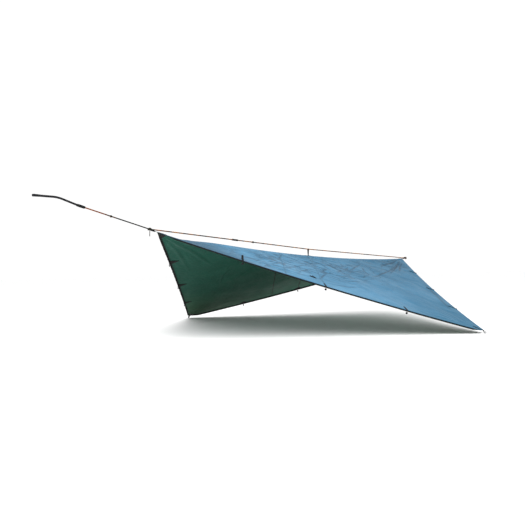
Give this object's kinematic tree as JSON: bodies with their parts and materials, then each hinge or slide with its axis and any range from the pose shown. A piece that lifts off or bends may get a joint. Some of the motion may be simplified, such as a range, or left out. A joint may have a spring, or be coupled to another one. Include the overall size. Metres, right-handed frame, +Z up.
{
  "type": "tarp shelter",
  "caption": "Square tarp pitched as a diamond under a taut ridgeline, with taped edges, tie-out loops, peg loops at the low corners and sliding friction hitches.",
  "frame": {"origin": "on the ground, midway between the two ridge corners and midway between the two low corners", "axes": "+X along the ridge towards the lower, right-hand ridge corner; +Y towards the rear low corner; +Z up"},
  "size_m": [5.4633, 3.886, 1.1647],
  "materials": {
    "canopy_cloth": "coated ripstop, satin",
    "seam_tape": "matte",
    "hem_tape": "woven tape, matte",
    "patch_cloth": "woven, matte",
    "webbing": "woven webbing, matte",
    "ridgeline_cord": "braided sheath, matte",
    "knot_cord": "braided sheath, matte",
    "hitch_cord": "braided cord, matte"
  },
  "bodies": {
    "ridge": {"corner_patch_left": "patch_cloth", "corner_patch_right": "patch_cloth", "ridge_strip": "canopy_cloth", "corner_loop_left": "webbing", "corner_loop_right": "webbing", "ridgeline": "ridgeline_cord", "left_knot": "knot_cord", "right_knot": "knot_cord", "anchor_strap": "webbing", "wrapped_hitch": "hitch_cord", "stopper_knot": "knot_cord", "knot_tail": "knot_cord", "ridge_hanger": "webbing", "end_loop": "knot_cord"},
    "front_wing": {"front_left_panel": "canopy_cloth", "front_right_panel": "canopy_cloth", "front_seam_tape": "seam_tape", "corner_patch_front": "patch_cloth", "corner_strap_front": "webbing", "corner_loop_front": "webbing", "panel_loop_front": "webbing", "hem_tape_front_left": "hem_tape", "tie_patches_front_left": "patch_cloth", "tie_straps_front_left": "webbing", "hem_tape_front_right": "hem_tape", "tie_patches_front_right": "patch_cloth", "tie_straps_front_right": "webbing"},
    "rear_wing": {"rear_right_panel": "canopy_cloth", "rear_left_panel": "canopy_cloth", "rear_seam_tape": "seam_tape", "corner_patch_rear": "patch_cloth", "corner_strap_rear": "webbing", "corner_loop_rear": "webbing", "panel_loop_rear": "webbing", "hem_tape_rear_left": "hem_tape", "tie_patches_rear_left": "patch_cloth", "tie_straps_rear_left": "webbing", "hem_tape_rear_right": "hem_tape", "tie_patches_rear_right": "patch_cloth", "tie_straps_rear_right": "webbing"},
    "tie_loop_front_left_1": {"tie_loop_front_left_1": "webbing"},
    "tie_loop_front_left_2": {"tie_loop_front_left_2": "webbing"},
    "tie_loop_front_left_3": {"tie_loop_front_left_3": "webbing"},
    "tie_loop_front_right_1": {"tie_loop_front_right_1": "webbing"},
    "tie_loop_front_right_2": {"tie_loop_front_right_2": "webbing"},
    "tie_loop_front_right_3": {"tie_loop_front_right_3": "webbing"},
    "tie_loop_rear_left_1": {"tie_loop_rear_left_1": "webbing"},
    "tie_loop_rear_left_2": {"tie_loop_rear_left_2": "webbing"},
    "tie_loop_rear_left_3": {"tie_loop_rear_left_3": "webbing"},
    "tie_loop_rear_right_1": {"tie_loop_rear_right_1": "webbing"},
    "tie_loop_rear_right_2": {"tie_loop_rear_right_2": "webbing"},
    "tie_loop_rear_right_3": {"tie_loop_rear_right_3": "webbing"},
    "long_sliding_hitch": {"long_sliding_hitch": "hitch_cord"},
    "short_sliding_hitch": {"short_sliding_hitch": "hitch_cord"}
  },
  "joints": [
    {"name": "front_wing_lift", "type": "hinge", "parent": "ridge", "child": "front_wing", "pos_m": [0, 0, 0.8225], "axis": [-0.9987, 0, 0.0509], "range_deg": [0, 35]},
    {"name": "rear_wing_lift", "type": "hinge", "parent": "ridge", "child": "rear_wing", "pos_m": [0, 0, 0.8225], "axis": [0.9987, 0, -0.0509], "range_deg": [0, 35]},
    {"name": "loop_swing_front_left_1", "type": "hinge", "parent": "front_wing", "child": "tie_loop_front_left_1", "pos_m": [-1.5703, -0.47302, 0.66605], "axis": [-0.7065, 0.6315, 0.3195], "range_deg": [-75, 80]},
    {"name": "loop_swing_front_left_2", "type": "hinge", "parent": "front_wing", "child": "tie_loop_front_left_2", "pos_m": [-1.03907, -0.95522, 0.43055], "axis": [-0.7004, 0.6456, 0.3044], "range_deg": [-75, 80]},
    {"name": "loop_swing_front_left_3", "type": "hinge", "parent": "front_wing", "child": "tie_loop_front_left_3", "pos_m": [-0.5153, -1.44552, 0.20749], "axis": [-0.6938, 0.6595, 0.2895], "range_deg": [-75, 80]},
    {"name": "loop_swing_front_right_1", "type": "hinge", "parent": "front_wing", "child": "tie_loop_front_right_1", "pos_m": [1.5703, -0.47302, 0.50604], "axis": [-0.7214, -0.6448, -0.2527], "range_deg": [-75, 80]},
    {"name": "loop_swing_front_right_2", "type": "hinge", "parent": "front_wing", "child": "tie_loop_front_right_2", "pos_m": [1.03907, -0.95522, 0.32467], "axis": [-0.7142, -0.6584, -0.2376], "range_deg": [-75, 80]},
    {"name": "loop_swing_front_right_3", "type": "hinge", "parent": "front_wing", "child": "tie_loop_front_right_3", "pos_m": [0.5153, -1.44552, 0.15499], "axis": [-0.7066, -0.6716, -0.2228], "range_deg": [-75, 80]},
    {"name": "loop_swing_rear_left_1", "type": "hinge", "parent": "rear_wing", "child": "tie_loop_rear_left_1", "pos_m": [-1.5703, 0.47302, 0.66605], "axis": [0.7065, 0.6315, -0.3195], "range_deg": [-75, 80]},
    {"name": "loop_swing_rear_left_2", "type": "hinge", "parent": "rear_wing", "child": "tie_loop_rear_left_2", "pos_m": [-1.03907, 0.95522, 0.43055], "axis": [0.7004, 0.6456, -0.3044], "range_deg": [-75, 80]},
    {"name": "loop_swing_rear_left_3", "type": "hinge", "parent": "rear_wing", "child": "tie_loop_rear_left_3", "pos_m": [-0.5153, 1.44552, 0.20749], "axis": [0.6938, 0.6595, -0.2895], "range_deg": [-75, 80]},
    {"name": "loop_swing_rear_right_1", "type": "hinge", "parent": "rear_wing", "child": "tie_loop_rear_right_1", "pos_m": [1.5703, 0.47302, 0.50604], "axis": [0.7214, -0.6448, 0.2527], "range_deg": [-75, 80]},
    {"name": "loop_swing_rear_right_2", "type": "hinge", "parent": "rear_wing", "child": "tie_loop_rear_right_2", "pos_m": [1.03907, 0.95522, 0.32467], "axis": [0.7142, -0.6584, 0.2376], "range_deg": [-75, 80]},
    {"name": "loop_swing_rear_right_3", "type": "hinge", "parent": "rear_wing", "child": "tie_loop_rear_right_3", "pos_m": [0.5153, 1.44552, 0.15499], "axis": [0.7066, -0.6716, 0.2228], "range_deg": [-75, 80]},
    {"name": "long_hitch_slide", "type": "slide", "parent": "ridge", "child": "long_sliding_hitch", "axis": [0.998, 0, -0.0626], "range_m": [-0.84, 0.14]},
    {"name": "short_hitch_slide", "type": "slide", "parent": "ridge", "child": "short_sliding_hitch", "axis": [0.998, 0, -0.0626], "range_m": [-0.04, 0.84]}
  ]
}
